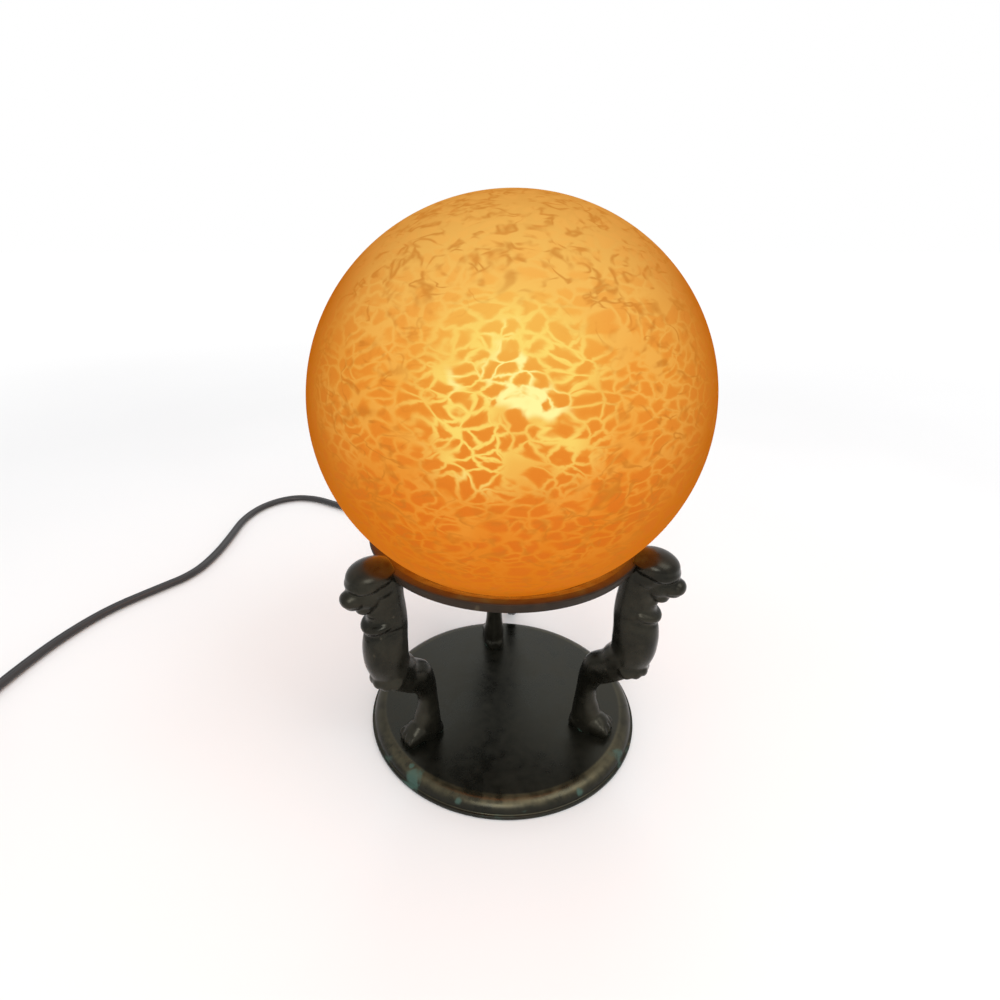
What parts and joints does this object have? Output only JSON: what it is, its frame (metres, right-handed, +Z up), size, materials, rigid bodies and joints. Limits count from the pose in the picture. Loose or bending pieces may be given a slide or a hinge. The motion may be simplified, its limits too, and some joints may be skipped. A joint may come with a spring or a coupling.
{
  "type": "figural table lamp",
  "caption": "Table lamp with a mottled amber glass globe held in a ring on beast-headed cast legs over a round base, with a switched lead and a plug",
  "frame": {"origin": "centre of the underside of the base, on the surface that the lamp stands on", "axes": "+Z up along the lamp's axis; the front of the lamp looks along -Y; +X is to the right seen from the front"},
  "size_m": [0.4279, 0.401, 0.2302],
  "materials": {
    "bronze_base": "dark olive-brown patinated cast metal with greenish wear at the rim",
    "bronze_ring": "dark patinated cast metal",
    "bronze_leg": "dark patinated cast metal, rubbed paler on the raised forms",
    "felt": "dark felt",
    "steel_screw": "dull zinc",
    "pan_brass": "dull spun brass",
    "holder_brass": "satin brass",
    "insulator": "glazed ceramic",
    "liner": "hard fibre",
    "contact_metal": "bright brass",
    "bulb_glass": "frosted",
    "bulb_metal": "bright",
    "bulb_bead": "opaque dark glass",
    "solder": "dull solder",
    "globe_glass": "mottled amber glass",
    "rubber_black": "matt",
    "lead_jacket": "dull dark brown-black sheath",
    "switch_case": "satin dark moulding",
    "wheel_plastic": "satin dark moulding",
    "plug_case": "dull dark moulding",
    "blade_metal": "bright brass"
  },
  "bodies": {
    "lamp": {"base_disc": "bronze_base", "base_felt": "felt", "foot_screws": "steel_screw", "leg_front_left": "bronze_leg", "leg_front_right": "bronze_leg", "leg_rear": "bronze_leg", "gallery_ring": "bronze_ring", "gallery_pan": "pan_brass", "gallery_screws": "steel_screw", "holder_nipple": "holder_brass", "nipple_washer": "steel_screw", "nipple_locknut": "holder_brass", "holder_cap": "holder_brass", "outlet_bushing": "rubber_black", "holder_insert": "insulator", "terminal_screws": "contact_metal", "screw_shell": "contact_metal", "centre_contact": "contact_metal", "insulating_liner": "liner", "holder_shell": "holder_brass", "lead_grommet": "rubber_black", "inner_lead": "lead_jacket", "lead_run": "lead_jacket", "switch_lower": "switch_case", "switch_upper": "switch_case", "switch_axle": "steel_screw", "switch_screw": "steel_screw", "lead_link": "lead_jacket", "lead_coil": "lead_jacket", "plug_body": "plug_case", "plug_blades": "blade_metal"},
    "globe": {"glass_globe": "globe_glass"},
    "bulb": {"bulb_glass": "bulb_glass", "bulb_cap": "bulb_metal", "bulb_insulator": "bulb_bead", "bulb_stem": "bulb_glass"},
    "bulb_tip": {"bulb_contact": "solder"},
    "switch_wheel_body": {"switch_wheel": "wheel_plastic"}
  },
  "joints": [
    {"name": "globe_lift", "type": "slide", "parent": "lamp", "child": "globe", "axis": [0, 0, 1], "range_m": [0, 0.11]},
    {"name": "bulb_travel", "type": "slide", "parent": "lamp", "child": "bulb_tip", "axis": [0, 0, 1], "range_m": [0, 0.018]},
    {"name": "bulb_turn", "type": "hinge", "parent": "bulb_tip", "child": "bulb", "pos_m": [0, 0, 0.12], "axis": [0, 0, 1], "range_deg": [0, 1800]},
    {"name": "wheel_turn", "type": "hinge", "parent": "lamp", "child": "switch_wheel_body", "pos_m": [-0.2576, -0.06012, 0.0068], "axis": [0, 0, 1], "continuous": true}
  ],
  "couplings": [
    {"joint": "bulb_turn", "follows": "bulb_travel", "rad_per_m": 1731.4}
  ]
}
